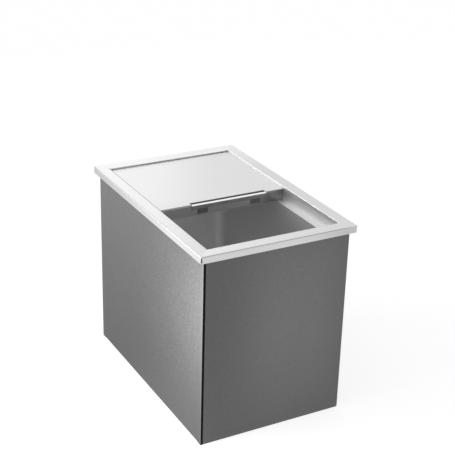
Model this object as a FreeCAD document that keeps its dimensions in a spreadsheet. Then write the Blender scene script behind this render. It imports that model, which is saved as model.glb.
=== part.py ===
"""Drop-in insulated ice bin: a stainless tub in a foam-lined casing, hung from a folded top rim.

A sliding half cover runs on the tub's ledge and passes over a fixed rear cover, and the floor has a drain.
Millimetres, +Z up. The origin is on the floor under the middle of the bin, X runs across it, the front is -Y.
"""
import FreeCAD, Part
import math
import os
import re
import Sketcher

SIZES = {
    # Whole bin
    "rim_width": 305.0,
    "rim_length": 458.0,
    "bin_height": 371.0,
    # Folded top rim
    "rim_flange": 23.5,
    "rim_skirt": 13.0,
    "rim_return": 6.0,
    "side_lip": 8.0,
    "end_lip": 2.0,
    "rim_sheet": 1.2,
    "rim_bend": 2.0,
    "lip_bend": 1.0,
    "lip_notch": 3.0,
    "corner_slit": 2.2,
    # Outer casing
    "casing_inset": 9.2,
    "casing_sheet": 0.8,
    "casing_bend": 3.0,
    "foot_return": 15.0,
    "toe_lift": 1.6,
    "pan_return": 11.0,
    "pan_bend": 1.5,
    "pan_corner": 3.0,
    "panel_relief": 0.5,
    "seam_gap": 4.4,
    "joiner_setback": 6.0,
    "joiner_depth": 14.0,
    "joiner_end_gap": 4.0,
    "strip_lap": 8.0,
    # Base pan with its drain bay
    "base_bay": 36.0,
    "base_sheet": 0.8,
    "base_flange_gap": 0.6,
    "bay_inset": 4.2,
    "bay_corner": 8.0,
    # Inner tub
    "tub_sheet": 0.8,
    "tub_flange": 10.0,
    "ledge_depth": 27.0,
    "ledge_width": 14.0,
    "well_corner": 3.0,
    "tub_corner": 24.0,
    "floor_cove": 11.0,
    "sump_radius": 44.0,
    "sump_flat": 36.0,
    "sump_depth": 5.0,
    # Insulation boards
    "base_foam": 24.0,
    "foam_gap": 0.2,
    "foam_drain_gap": 2.0,
    # Sliding cover
    "scoop_opening": 187.5,
    "cover_recess": 4.0,
    "cover_sheet": 1.0,
    "cover_bend": 2.5,
    "cover_side_bend": 1.0,
    "cover_hem": 3.0,
    "cover_side_gap": 0.45,
    "cover_rear_gap": 2.0,
    "run_gap": 0.3,
    "glide_wall": 0.8,
    "glide_floor": 1.0,
    "glide_height": 6.0,
    "glide_end_gap": 4.0,
    # Pull bar with a finger groove behind it, let into the sliding cover's front edge
    "handle_length": 154.0,
    "handle_offset": 13.5,
    "handle_depth": 9.4,
    "handle_drop": 4.4,
    "handle_sheet": 1.2,
    "handle_bend": 2.4,
    "handle_lap": 9.0,
    "groove_bend": 1.0,
    "bar_width": 5.6,
    "bar_drop": 0.4,
    "handle_nose": 5.0,
    "handle_end_gap": 0.4,
    "tab_width": 20.0,
    "tab_spacing": 110.0,
    "tab_length": 14.0,
    # Fixed rear cover
    "rear_cover_drop": 7.0,
    "rear_cover_gap": 2.0,
    "rear_cover_side_gap": 0.95,
    "rear_cover_wall_gap": 0.2,
    # Drain
    "drain_flange_radius": 33.0,
    "drain_flange_thick": 2.5,
    "drain_body_radius": 21.0,
    "drain_tail_radius": 13.2,
    "drain_bore_radius": 10.0,
    "drain_throat_radius": 14.0,
    "drain_throat_wall": 3.0,
    "drain_tail_clear": 6.0,
    "drain_fit": 0.3,
    "seat_radius": 19.0,
    "seat_depth": 15.5,
    "shoulder_radius": 17.0,
    "gasket_radius": 30.0,
    "gasket_thick": 1.5,
    "washer_radius": 32.0,
    "washer_thick": 1.5,
    "nut_across": 54.0,
    "nut_height": 8.0,
    "nut_chamfer": 0.8,
    "nut_fit": 0.1,
    "thread_spare": 3.0,
    "strainer_thick": 1.2,
    "strainer_fit": 0.3,
    "strainer_slots": 5,
    "slot_length": 16.0,
    "slot_width": 2.4,
    "slot_pitch": 4.6,
    # Rubber drain plug
    "plug_gap": 0.3,
    "plug_depth": 11.0,
    "plug_cap_radius": 22.5,
    "plug_cap_thick": 3.0,
    "plug_tab_width": 14.0,
    "plug_tab_height": 14.0,
    "plug_tab_thick": 5.0,
    "plug_tab_round_share": 0.95,
    "plug_hole_radius": 4.0,
}

# Sums of sizes that several pieces share, so that pieces which meet take their places from the same values
SUMS = {
    "half_rim_x": "rim_width / 2",
    "half_rim_y": "rim_length / 2",
    "open_x": "half_rim_x - rim_flange",
    "open_y": "half_rim_y - rim_flange",
    "rim_under": "bin_height - rim_sheet",
    "skirt_foot": "bin_height - rim_skirt",
    "case_x": "half_rim_x - casing_inset",
    "case_y": "half_rim_y - casing_inset",
    "case_in_x": "case_x - casing_sheet",
    "case_in_y": "case_y - casing_sheet",
    "pan_x": "case_in_x - seam_gap",
    "pan_back": "case_y - pan_return",
    "side_end": "pan_back - seam_gap",
    "pan_top": "rim_under - tub_sheet",
    "well_x": "open_x + rim_sheet",
    "well_y": "open_y + rim_sheet",
    "well_out_x": "well_x + tub_sheet",
    "well_out_y": "well_y + tub_sheet",
    "tub_x": "well_x - ledge_width",
    "tub_y": "well_y - ledge_width",
    "tub_out_x": "tub_x + tub_sheet",
    "tub_out_y": "tub_y + tub_sheet",
    "ledge_top": "bin_height - ledge_depth",
    "ledge_under": "ledge_top - tub_sheet",
    "base_top": "base_bay + base_sheet",
    "bay_x": "tub_out_x - bay_inset",
    "bay_y": "tub_out_y - bay_inset",
    "floor_under": "base_top + base_foam + 2 * foam_gap",
    "floor_top": "floor_under + tub_sheet",
    "sump_top": "floor_top - sump_depth",
    "sump_under": "floor_under - sump_depth",
    "foam_foot": "casing_bend + foam_gap",
    "foam_top": "pan_top - casing_sheet - foam_gap",
    "cover_top": "bin_height - cover_recess",
    "cover_under": "cover_top - cover_sheet",
    "cover_x": "open_x - cover_side_gap",
    "cover_in_x": "cover_x - cover_sheet",
    "cover_front": "scoop_opening - open_y",
    "cover_rear": "open_y - cover_rear_gap",
    "glide_foot": "ledge_top + run_gap",
    "flange_foot": "glide_foot + glide_floor",
    "handle_back": "cover_front + handle_depth",
    "finger_ledge": "cover_top - handle_drop",
    "rear_top": "cover_top - rear_cover_drop",
    "rear_x": "cover_in_x - glide_wall - rear_cover_side_gap",
    "rear_front": "cover_front + cover_sheet + rear_cover_gap",
    "rear_back": "well_y - rear_cover_wall_gap",
    "gasket_top": "sump_top + gasket_thick",
    "drain_top": "gasket_top + drain_flange_thick",
    "strainer_seat": "drain_top - seat_depth",
    "seat_slope": "(seat_radius - shoulder_radius) / seat_depth",
    "washer_foot": "base_bay - washer_thick",
    "nut_foot": "washer_foot - nut_height",
    "drain_body_foot": "nut_foot - thread_spare",
    "throat_foot": "drain_body_foot + drain_throat_wall",
    "drain_hole_radius": "drain_body_radius + drain_fit",
    "plug_seat": "drain_top + plug_gap",
    "plug_cap_top": "plug_seat + plug_cap_thick",
}

TOLERANCE = 0.01
QUARTER_TURN = math.pi / 2

doc = FreeCAD.newDocument("IceBin")
sheet = doc.addObject("Spreadsheet::Sheet", "Sizes")
for row, (alias, number) in enumerate(SIZES.items(), start=1):
    sheet.set(f"A{row}", alias)
    sheet.set(f"B{row}", str(number))
    sheet.setAlias(f"B{row}", alias)
doc.recompute()


def cells(text):
    """Turn the names in a sum into their cells in the sheet."""
    def cell(word):
        name = word.group()
        if name in SUMS:
            return "(" + cells(SUMS[name]) + ")"
        return "Sizes." + name if name in SIZES else name
    return re.sub(r"[a-z][a-z_]*", cell, str(text))


def value(text):
    """The present value of a sum of sizes."""
    return float(sheet.evalExpression(cells(text)))


def signed(sign, text):
    """A sum on the side of the middle that sign gives."""
    return f"{sign} * ({text})"


def new_body(label):
    """An empty sub-part."""
    body = doc.addObject("PartDesign::Body", label)
    body.Label = label
    return body


def new_sketch(body, name, plane, offset="0"):
    """A sketch on one of the body's own planes, moved along that plane's normal."""
    sketch = body.newObject("Sketcher::SketchObject", name)
    origin = next(item for item in body.Origin.OriginFeatures if item.Role == plane)
    sketch.AttachmentSupport = [(origin, "")]
    sketch.MapMode = "FlatFace"
    sketch.setExpression("AttachmentOffset.Base.z", cells(offset))
    return sketch


def place_point(sketch, curve, point, x, y=None):
    """Hold a point of a curve at a distance from the sketch's origin, given as sums of sizes."""
    for kind, text in (("DistanceX", x), ("DistanceY", y)):
        if text is not None:
            number = sketch.addConstraint(Sketcher.Constraint(kind, -1, 1, curve, point, value(text)))
            sketch.setExpression(f"Constraints[{number}]", cells(text))


def add_outline(sketch, points):
    """A closed outline of straight lines through points given as pairs of sums."""
    corners = [FreeCAD.Vector(value(x), value(y), 0) for x, y in points]
    first = sketch.GeometryCount
    count = len(corners)
    for index, corner in enumerate(corners):
        sketch.addGeometry(Part.LineSegment(corner, corners[(index + 1) % count]), False)
    for index, (x, y) in enumerate(points):
        following = first + (index + 1) % count
        sketch.addConstraint(Sketcher.Constraint("Coincident", first + index, 2, following, 1))
        place_point(sketch, first + index, 1, x, y)


def add_rectangle(sketch, left, right, low, high):
    """A rectangle between four sums."""
    add_outline(sketch, [(left, low), (right, low), (right, high), (left, high)])


def add_centred_rectangle(sketch, half_x, half_y):
    """A rectangle about the sketch's origin."""
    add_rectangle(sketch, signed(-1, half_x), half_x, signed(-1, half_y), half_y)


def add_round_rectangle(sketch, half_x, half_y, radius):
    """A rectangle about the sketch's origin with rounded corners."""
    turns = ((1, -1), (1, 1), (-1, 1), (-1, -1))
    first = sketch.GeometryCount
    for quarter, (sx, sy) in enumerate(turns):
        long_end = (signed(sx, half_x), signed(sy, f"{half_y} - {radius}"))
        short_end = (signed(sx, f"{half_x} - {radius}"), signed(sy, half_y))
        start, end = (short_end, long_end) if sx * sy < 0 else (long_end, short_end)
        centre = FreeCAD.Vector(value(short_end[0]), value(long_end[1]), 0)
        angle = (quarter - 1) * QUARTER_TURN
        circle = Part.Circle(centre, FreeCAD.Vector(0, 0, 1), value(radius))
        arc = sketch.addGeometry(Part.ArcOfCircle(circle, angle, angle + QUARTER_TURN), False)
        place_point(sketch, arc, 1, *start)
        place_point(sketch, arc, 2, *end)
        place_point(sketch, arc, 3, short_end[0])
    for quarter in range(len(turns)):
        arc = first + quarter
        following = first + (quarter + 1) % len(turns)
        ends = [sketch.getPoint(arc, 2), sketch.getPoint(following, 1)]
        line = sketch.addGeometry(Part.LineSegment(*ends), False)
        sketch.addConstraint(Sketcher.Constraint("Coincident", line, 1, arc, 2))
        sketch.addConstraint(Sketcher.Constraint("Coincident", line, 2, following, 1))


def add_circle(sketch, radius, x="0", y="0"):
    """A circle whose centre is given as two sums."""
    centre = FreeCAD.Vector(value(x), value(y), 0)
    curve = sketch.addGeometry(Part.Circle(centre, FreeCAD.Vector(0, 0, 1), value(radius)), False)
    place_point(sketch, curve, 3, x, y)
    number = sketch.addConstraint(Sketcher.Constraint("Radius", curve, value(radius)))
    sketch.setExpression(f"Constraints[{number}]", cells(radius))


def extrude(body, sketch, kind, length, reverse=False, both=False):
    """Pad or pocket a sketch. A cut that removes nothing is an error."""
    before = body.Shape.Volume if kind == "Pocket" else 0
    feature = body.newObject(f"PartDesign::{kind}", sketch.Name + kind)
    feature.Profile = sketch
    feature.Reversed = reverse
    feature.SideType = "Symmetric" if both else "One side"
    feature.setExpression("Length", cells(length))
    doc.recompute()
    if kind == "Pocket" and body.Shape.Volume >= before:
        raise RuntimeError(f"{feature.Name} cuts nothing")
    return feature


def pad(body, sketch, length, **options):
    """Add the sketch's outline to the body."""
    return extrude(body, sketch, "Pad", length, **options)


def pocket(body, sketch, length, **options):
    """Cut the sketch's outline from the body."""
    return extrude(body, sketch, "Pocket", length, **options)


def turn(body, sketch, kind="Revolution"):
    """Turn a sketch a full circle about its upright axis, to add or to cut."""
    feature = body.newObject(f"PartDesign::{kind}", sketch.Name + kind)
    feature.Profile = sketch
    feature.ReferenceAxis = (sketch, ["V_Axis"])
    feature.Angle = 360
    doc.recompute()
    return feature


def edges_at(shape, **places):
    """Names of the edges that lie wholly at the given x, y or z."""
    wanted = {axis.upper(): value(text) for axis, text in places.items()}
    names = []
    for number, edge in enumerate(shape.Edges, start=1):
        box = edge.BoundBox
        ends = [(getattr(box, axis + "Min"), getattr(box, axis + "Max"), at) for axis, at in wanted.items()]
        if all(abs(low - at) < TOLERANCE and abs(high - at) < TOLERANCE for low, high, at in ends):
            names.append(f"Edge{number}")
    return names


def dress(body, kind, name, size, *places):
    """Fillet or chamfer the edges at each of the given places."""
    base = body.Tip
    names = [edge for place in places for edge in edges_at(base.Shape, **place)]
    if not names:
        raise RuntimeError(f"{name} finds no edge")
    feature = body.newObject(f"PartDesign::{kind}", name)
    feature.Base = (base, names)
    feature.setExpression("Radius" if kind == "Fillet" else "Size", cells(size))
    doc.recompute()
    return feature


def fillet(body, name, radius, *places):
    """Round the edges at each of the given places."""
    return dress(body, "Fillet", name, radius, *places)


def make_top_rim():
    """Folded frame: top flange, outer skirt with an in-turned seat, deep side lips and short end lips."""
    body = new_body("top_rim")
    outline = new_sketch(body, "RimOutline", "XY_Plane", "skirt_foot")
    add_centred_rectangle(outline, "half_rim_x", "half_rim_y")
    pad(body, outline, "rim_skirt")
    sides = [{"z": "bin_height", "x": signed(sign, "half_rim_x")} for sign in (-1, 1)]
    ends = [{"z": "bin_height", "y": signed(sign, "half_rim_y")} for sign in (-1, 1)]
    fillet(body, "RimBend", "rim_bend", *sides, *ends)
    hollow = new_sketch(body, "RimHollow", "XY_Plane", "skirt_foot")
    add_centred_rectangle(hollow, "half_rim_x - rim_sheet", "half_rim_y - rim_sheet")
    pocket(body, hollow, "rim_skirt - rim_sheet", reverse=True)
    opening = new_sketch(body, "RimOpening", "XY_Plane", "bin_height")
    add_centred_rectangle(opening, "open_x", "open_y")
    pocket(body, opening, "rim_skirt")
    side_lips = new_sketch(body, "RimSideLips", "XY_Plane", "rim_under")
    end_lips = new_sketch(body, "RimEndLips", "XY_Plane", "rim_under")
    for sign in (-1, 1):
        across = [signed(sign, "open_x"), signed(sign, "well_x")]
        add_rectangle(side_lips, *across, "lip_notch - open_y", "open_y - lip_notch")
        along = [signed(sign, "open_y"), signed(sign, "well_y")]
        add_rectangle(end_lips, "lip_notch - open_x", "open_x - lip_notch", *along)
    pad(body, side_lips, "side_lip - rim_sheet", reverse=True)
    pad(body, end_lips, "end_lip - rim_sheet", reverse=True)
    inner_sides = [{"z": "bin_height", "x": signed(sign, "open_x")} for sign in (-1, 1)]
    inner_ends = [{"z": "bin_height", "y": signed(sign, "open_y")} for sign in (-1, 1)]
    fillet(body, "LipBend", "lip_bend", *inner_sides, *inner_ends)
    seat = new_sketch(body, "RimSeat", "XY_Plane", "skirt_foot")
    add_centred_rectangle(seat, "half_rim_x - rim_sheet", "half_rim_y - rim_sheet")
    add_centred_rectangle(seat, "half_rim_x - rim_sheet - rim_return", "half_rim_y - rim_sheet - rim_return")
    pad(body, seat, "rim_sheet")
    slits = new_sketch(body, "RimSlits", "XY_Plane", "skirt_foot")
    for sx in (-1, 1):
        for sy in (-1, 1):
            across = [signed(sx, "half_rim_x - corner_slit"), signed(sx, "half_rim_x + corner_slit")]
            along = [signed(sy, "half_rim_y - corner_slit"), signed(sy, "half_rim_y + corner_slit")]
            add_rectangle(slits, *across, *along)
    pocket(body, slits, "rim_skirt - rim_bend", reverse=True)
    return body


def make_side_panel(label, side, half_length):
    """Flat side sheet with an in-turned foot."""
    body = new_body(label)
    section = new_sketch(body, "SideSection", "XZ_Plane")
    inner_foot = signed(side, "case_x - foot_return")
    add_outline(section, [
        (signed(side, "case_x"), "0"),
        (signed(side, "case_x"), "rim_under"),
        (signed(side, "case_in_x"), "rim_under"),
        (signed(side, "case_in_x"), "casing_sheet"),
        (inner_foot, "casing_sheet"),
        (inner_foot, "0"),
    ])
    pad(body, section, f"2 * ({half_length})", both=True)
    fillet(body, "FootBend", "casing_bend", {"x": signed(side, "case_x"), "z": "0"})
    inner_bend = {"x": signed(side, "case_in_x"), "z": "casing_sheet"}
    fillet(body, "FootInnerBend", "casing_bend - casing_sheet", inner_bend)
    return body


def make_left_panel():
    """Left side sheet, which runs on past its foot to the front and rear corners."""
    body = make_side_panel("left_panel", -1, "pan_back - panel_relief")
    ends = new_sketch(body, "SideEnds", "XY_Plane", "toe_lift")
    for end in (-1, 1):
        along = [signed(end, "pan_back - panel_relief"), signed(end, "case_y")]
        add_rectangle(ends, "-1 * case_x", "-1 * case_in_x", *along)
    pad(body, ends, "rim_under - toe_lift")
    return body


def make_end_panel(label, end):
    """Front or rear sheet folded as a shallow pan, with an open seam at its left and a bend at its right."""
    body = new_body(label)
    outline = new_sketch(body, "PanOutline", "XY_Plane")
    add_rectangle(outline, "-1 * pan_x", "case_x", signed(end, "pan_back"), signed(end, "case_y"))
    pad(body, outline, "pan_top")
    hollow = new_sketch(body, "PanHollow", "XZ_Plane", signed(-end, "pan_back"))
    inner_left = "-1 * (pan_x - casing_sheet)"
    add_rectangle(hollow, inner_left, "case_in_x", "casing_sheet", "pan_top - casing_sheet")
    pocket(body, hollow, "pan_return - casing_sheet", reverse=end < 0)
    inner_corners = [{"x": place, "z": "casing_sheet"} for place in (inner_left, "case_in_x")]
    fillet(body, "PanInnerCorners", "pan_corner - casing_sheet", *inner_corners)
    fillet(body, "PanCorners", "pan_corner", {"x": "-1 * pan_x", "z": "0"}, {"x": "case_x", "z": "0"})
    fillet(body, "PanBend", "pan_bend", {"y": signed(end, "case_y")})
    return body


def make_corner_joiner(label, end):
    """Channel behind an open seam at the left, welded to the left panel and to the end panel's fold."""
    body = new_body(label)
    section = new_sketch(body, "JoinerSection", "XY_Plane", "joiner_end_gap")
    front = signed(end, "case_y - joiner_setback")
    web = signed(end, "case_y - joiner_setback - casing_sheet")
    back = signed(end, "case_y - joiner_setback - joiner_depth")
    near = ["-1 * pan_x", "-1 * (pan_x + casing_sheet)"]
    far = ["-1 * case_in_x", "-1 * (case_in_x - casing_sheet)"]
    add_outline(section, [
        (near[0], back),
        (near[0], front),
        (far[0], front),
        (far[0], back),
        (far[1], back),
        (far[1], web),
        (near[1], web),
        (near[1], back),
    ])
    pad(body, section, "pan_top - 2 * joiner_end_gap")
    toe = new_sketch(body, "JoinerToe", "XY_Plane", "toe_lift")
    add_rectangle(toe, "-1 * case_in_x", "-1 * pan_x", front, web)
    pad(body, toe, "joiner_end_gap - toe_lift")
    return body


def make_seam_strip(label, end):
    """Strip behind an open seam at the right, welded to the right panel and to the end panel's fold."""
    body = new_body(label)
    section = new_sketch(body, "StripSection", "XY_Plane", "joiner_end_gap")
    along = [signed(end, "side_end - strip_lap"), signed(end, "pan_back + strip_lap")]
    add_rectangle(section, "case_in_x - casing_sheet", "case_in_x", *along)
    pad(body, section, "pan_top - 2 * joiner_end_gap")
    return body


def make_base_pan():
    """Inverted tray that carries the base board and leaves a bay for the drain, on an out-turned flange."""
    body = new_body("base_pan")
    tray = new_sketch(body, "BayOutline", "XY_Plane", "casing_sheet")
    add_round_rectangle(tray, "bay_x", "bay_y", "bay_corner")
    pad(body, tray, "base_top - casing_sheet")
    flange = new_sketch(body, "BaseFlange", "XY_Plane", "casing_sheet")
    margin = "(pan_corner + base_flange_gap)"
    add_centred_rectangle(flange, f"pan_x - {margin}", f"case_in_y - {margin}")
    pad(body, flange, "base_sheet")
    bay = new_sketch(body, "BayHollow", "XY_Plane", "casing_sheet")
    add_round_rectangle(bay, "bay_x - base_sheet", "bay_y - base_sheet", "(bay_corner - base_sheet)")
    pocket(body, bay, "base_bay - casing_sheet", reverse=True)
    hole = new_sketch(body, "BaseDrainHole", "XY_Plane", "base_top")
    add_circle(hole, "drain_hole_radius")
    pocket(body, hole, "2 * base_sheet")
    return body


def make_inner_tub():
    """Pressed tub: coved floor with a drain sump, a ledge for the covers and a flange under the rim."""
    body = new_body("inner_tub")
    tub = new_sketch(body, "TubOutside", "XY_Plane", "floor_under")
    add_round_rectangle(tub, "tub_out_x", "tub_out_y", "(tub_corner + tub_sheet)")
    pad(body, tub, "ledge_top - floor_under")
    well = new_sketch(body, "WellOutside", "XY_Plane", "ledge_under")
    add_round_rectangle(well, "well_out_x", "well_out_y", "(well_corner + tub_sheet)")
    pad(body, well, "rim_under - ledge_under")
    flange = new_sketch(body, "TubFlange", "XY_Plane", "pan_top")
    add_centred_rectangle(flange, "well_out_x + tub_flange", "well_out_y + tub_flange")
    pad(body, flange, "tub_sheet")
    well_hollow = new_sketch(body, "WellInside", "XY_Plane", "rim_under")
    add_round_rectangle(well_hollow, "well_x", "well_y", "well_corner")
    pocket(body, well_hollow, "rim_under - ledge_top")
    tub_hollow = new_sketch(body, "TubInside", "XY_Plane", "ledge_top")
    add_round_rectangle(tub_hollow, "tub_x", "tub_y", "tub_corner")
    pocket(body, tub_hollow, "ledge_top - floor_top")
    fillet(body, "FloorCove", "floor_cove", {"z": "floor_top"})
    fillet(body, "FloorOuterCove", "floor_cove + tub_sheet", {"z": "floor_under"})
    sump = new_sketch(body, "SumpOutside", "XZ_Plane")
    add_outline(sump, [
        ("0", "sump_under"),
        ("sump_flat + tub_sheet", "sump_under"),
        ("sump_radius + tub_sheet", "floor_under"),
        ("sump_radius + tub_sheet", "floor_top"),
        ("0", "floor_top"),
    ])
    turn(body, sump)
    dish = new_sketch(body, "SumpInside", "XZ_Plane")
    add_outline(dish, [
        ("0", "sump_top"),
        ("sump_flat", "sump_top"),
        ("sump_radius", "floor_top"),
        ("sump_radius", "floor_top + tub_sheet"),
        ("0", "floor_top + tub_sheet"),
    ])
    turn(body, dish, "Groove")
    hole = new_sketch(body, "TubDrainHole", "XY_Plane", "sump_top")
    add_circle(hole, "drain_hole_radius")
    pocket(body, hole, "2 * tub_sheet")
    return body


def make_wall_board(label, plane, sign, axis, half_length):
    """Insulation board beside the tub, stepped where the tub widens into the covers' well."""
    body = new_body(label)
    section = new_sketch(body, "BoardSection", plane)
    inner = signed(sign, f"tub_out_{axis} + foam_gap")
    upper = signed(sign, f"well_out_{axis} + foam_gap")
    outer = signed(sign, f"case_in_{axis} - foam_gap")
    step = "ledge_under - foam_gap"
    add_outline(section, [
        (inner, "foam_foot"),
        (outer, "foam_foot"),
        (outer, "foam_top"),
        (upper, "foam_top"),
        (upper, step),
        (inner, step),
    ])
    pad(body, section, f"2 * ({half_length})", both=True)
    return body


def make_base_board():
    """Insulation board under the tub, with a recess for the sump and a way through for the drain."""
    body = new_body("foam_base")
    outline = new_sketch(body, "BoardOutline", "XY_Plane", "base_top + foam_gap")
    add_centred_rectangle(outline, "tub_out_x - foam_gap", "tub_out_y - foam_gap")
    pad(body, outline, "base_foam")
    recess = new_sketch(body, "BoardSump", "XY_Plane", "floor_under - foam_gap")
    add_circle(recess, "sump_radius + tub_sheet + foam_drain_gap")
    pocket(body, recess, "sump_depth + foam_gap")
    bore = new_sketch(body, "BoardBore", "XY_Plane", "floor_under - foam_gap")
    add_circle(bore, "drain_body_radius + foam_drain_gap")
    pocket(body, bore, "base_foam")
    return body


def make_sliding_cover():
    """Half cover folded from one sheet, with deep front and side flanges, a rear hem and a handle notch."""
    body = new_body("sliding_cover")
    outline = new_sketch(body, "CoverOutline", "XY_Plane", "flange_foot")
    add_rectangle(outline, "-1 * cover_x", "cover_x", "cover_front", "cover_rear")
    pad(body, outline, "cover_top - flange_foot")
    fillet(body, "CoverFrontBend", "cover_bend", {"y": "cover_front", "z": "cover_top"})
    sides = [{"x": signed(side, "cover_x"), "z": "cover_top"} for side in (-1, 1)]
    fillet(body, "CoverSideBend", "cover_side_bend", *sides)
    hollow = new_sketch(body, "CoverHollow", "XY_Plane", "flange_foot")
    behind = "cover_rear + cover_sheet"
    add_rectangle(hollow, "-1 * cover_in_x", "cover_in_x", "cover_front + cover_sheet", behind)
    pocket(body, hollow, "cover_under - flange_foot", reverse=True)
    inner_bend = {"y": "cover_front + cover_sheet", "z": "cover_under"}
    fillet(body, "CoverInnerBend", "cover_bend - cover_sheet", inner_bend)
    hem = new_sketch(body, "CoverHem", "XY_Plane", "cover_top - cover_hem")
    add_rectangle(hem, "-1 * cover_in_x", "cover_in_x", "cover_rear - cover_sheet", "cover_rear")
    pad(body, hem, "cover_hem - cover_sheet")
    notch = new_sketch(body, "HandleNotch", "XY_Plane", "cover_top")
    reach = "(handle_length / 2 + handle_end_gap)"
    ends = [f"handle_offset - {reach}", f"handle_offset + {reach}"]
    add_rectangle(notch, *ends, "cover_front - cover_sheet", "handle_back")
    pocket(body, notch, "handle_drop + handle_sheet")
    return body


def make_cover_handle():
    """Strip folded into a pull bar and a finger groove, with a lap under the cover and two welded tabs."""
    body = new_body("cover_handle")
    section = new_sketch(body, "HandleSection", "YZ_Plane", "handle_offset")
    nose = "cover_front - handle_sheet"
    nose_foot = "finger_ledge - handle_nose"
    bar_back = f"{nose} + bar_width"
    bar_top = "cover_top - bar_drop"
    riser_back = "handle_back + handle_sheet"
    add_outline(section, [
        ("handle_back", "cover_under"),
        ("handle_back", "finger_ledge"),
        (bar_back, "finger_ledge"),
        (bar_back, bar_top),
        (nose, bar_top),
        (nose, nose_foot),
        ("cover_front", nose_foot),
        ("cover_front", f"{bar_top} - handle_sheet"),
        (f"{bar_back} - handle_sheet", f"{bar_top} - handle_sheet"),
        (f"{bar_back} - handle_sheet", "finger_ledge - handle_sheet"),
        (riser_back, "finger_ledge - handle_sheet"),
        (riser_back, "cover_under - handle_sheet"),
        ("handle_back + handle_lap", "cover_under - handle_sheet"),
        ("handle_back + handle_lap", "cover_under"),
    ])
    pad(body, section, "handle_length", both=True)
    tabs = new_sketch(body, "HandleTabs", "XZ_Plane", "-1 * cover_front")
    for side in (-1, 1):
        middle = f"handle_offset + {side} * tab_spacing / 2"
        across = [f"{middle} - tab_width / 2", f"{middle} + tab_width / 2"]
        add_rectangle(tabs, *across, "finger_ledge - tab_length", "finger_ledge - handle_sheet")
    pad(body, tabs, "handle_sheet")
    fillet(body, "BarRound", "handle_bend", {"y": nose, "z": bar_top}, {"y": bar_back, "z": bar_top})
    groove_corners = [{"y": place, "z": "finger_ledge"} for place in (bar_back, "handle_back")]
    fillet(body, "GrooveRound", "groove_bend", *groove_corners)
    return body


def make_cover_glide(label, side):
    """Plastic channel pressed onto the foot of a side flange, on which the cover runs along the ledge."""
    body = new_body(label)
    section = new_sketch(body, "GlideSection", "XZ_Plane", "-1 * (cover_rear - glide_end_gap)")
    inner = signed(side, "cover_in_x - glide_wall")
    outer = signed(side, "cover_x + glide_wall")
    top = "glide_foot + glide_height"
    add_outline(section, [
        (inner, "glide_foot"),
        (outer, "glide_foot"),
        (outer, top),
        (signed(side, "cover_x"), top),
        (signed(side, "cover_x"), "flange_foot"),
        (signed(side, "cover_in_x"), "flange_foot"),
        (signed(side, "cover_in_x"), top),
        (inner, top),
    ])
    pad(body, section, "cover_rear - cover_front - cover_sheet - 2 * glide_end_gap")
    return body


def make_rear_cover():
    """Fixed half cover that stands on the ledge inside the sliding cover."""
    body = new_body("rear_cover")
    outline = new_sketch(body, "RearOutline", "XY_Plane", "ledge_top")
    add_rectangle(outline, "-1 * rear_x", "rear_x", "rear_front", "rear_back")
    pad(body, outline, "rear_top - ledge_top")
    sides = [{"x": signed(side, "rear_x"), "z": "rear_top"} for side in (-1, 1)]
    fillet(body, "RearBend", "cover_side_bend", *sides, {"y": "rear_front", "z": "rear_top"})
    hollow = new_sketch(body, "RearHollow", "XY_Plane", "ledge_top")
    ends = ["rear_front + cover_sheet", "rear_back - cover_sheet"]
    add_rectangle(hollow, "-1 * (rear_x - cover_sheet)", "rear_x - cover_sheet", *ends)
    pocket(body, hollow, "rear_top - cover_sheet - ledge_top", reverse=True)
    return body


def make_drain_spud():
    """Flanged drain body with a tapered plug seat, a shoulder for the strainer and a hose tail."""
    body = new_body("drain_spud")
    section = new_sketch(body, "SpudSection", "XZ_Plane")
    add_outline(section, [
        ("seat_radius", "drain_top"),
        ("drain_flange_radius", "drain_top"),
        ("drain_flange_radius", "gasket_top"),
        ("drain_body_radius", "gasket_top"),
        ("drain_body_radius", "drain_body_foot"),
        ("drain_tail_radius", "drain_body_foot"),
        ("drain_tail_radius", "drain_tail_clear"),
        ("drain_bore_radius", "drain_tail_clear"),
        ("drain_bore_radius", "throat_foot"),
        ("drain_throat_radius", "throat_foot"),
        ("drain_throat_radius", "strainer_seat"),
        ("shoulder_radius", "strainer_seat"),
    ])
    turn(body, section)
    return body


def make_ring(label, outer, low, high):
    """Flat ring round the drain body."""
    body = new_body(label)
    outline = new_sketch(body, "RingOutline", "XY_Plane", low)
    add_circle(outline, outer)
    add_circle(outline, "drain_hole_radius")
    pad(body, outline, f"{high} - {low}")
    return body


def make_drain_locknut():
    """Hexagon nut that clamps the drain against the base pan."""
    body = new_body("drain_locknut")
    outline = new_sketch(body, "NutOutline", "XY_Plane", "nut_foot")
    corner = "nut_across / sqrt(3)"
    add_outline(outline, [
        (corner, "0"),
        (f"{corner} / 2", "nut_across / 2"),
        (f"-1 * {corner} / 2", "nut_across / 2"),
        (f"-1 * {corner}", "0"),
        (f"-1 * {corner} / 2", "-1 * nut_across / 2"),
        (f"{corner} / 2", "-1 * nut_across / 2"),
    ])
    pad(body, outline, "nut_height")
    dress(body, "Chamfer", "NutChamfer", "nut_chamfer", {"z": "nut_foot"})
    bore = new_sketch(body, "NutBore", "XY_Plane", "washer_foot")
    add_circle(bore, "drain_body_radius + nut_fit")
    pocket(body, bore, "nut_height")
    return body


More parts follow.
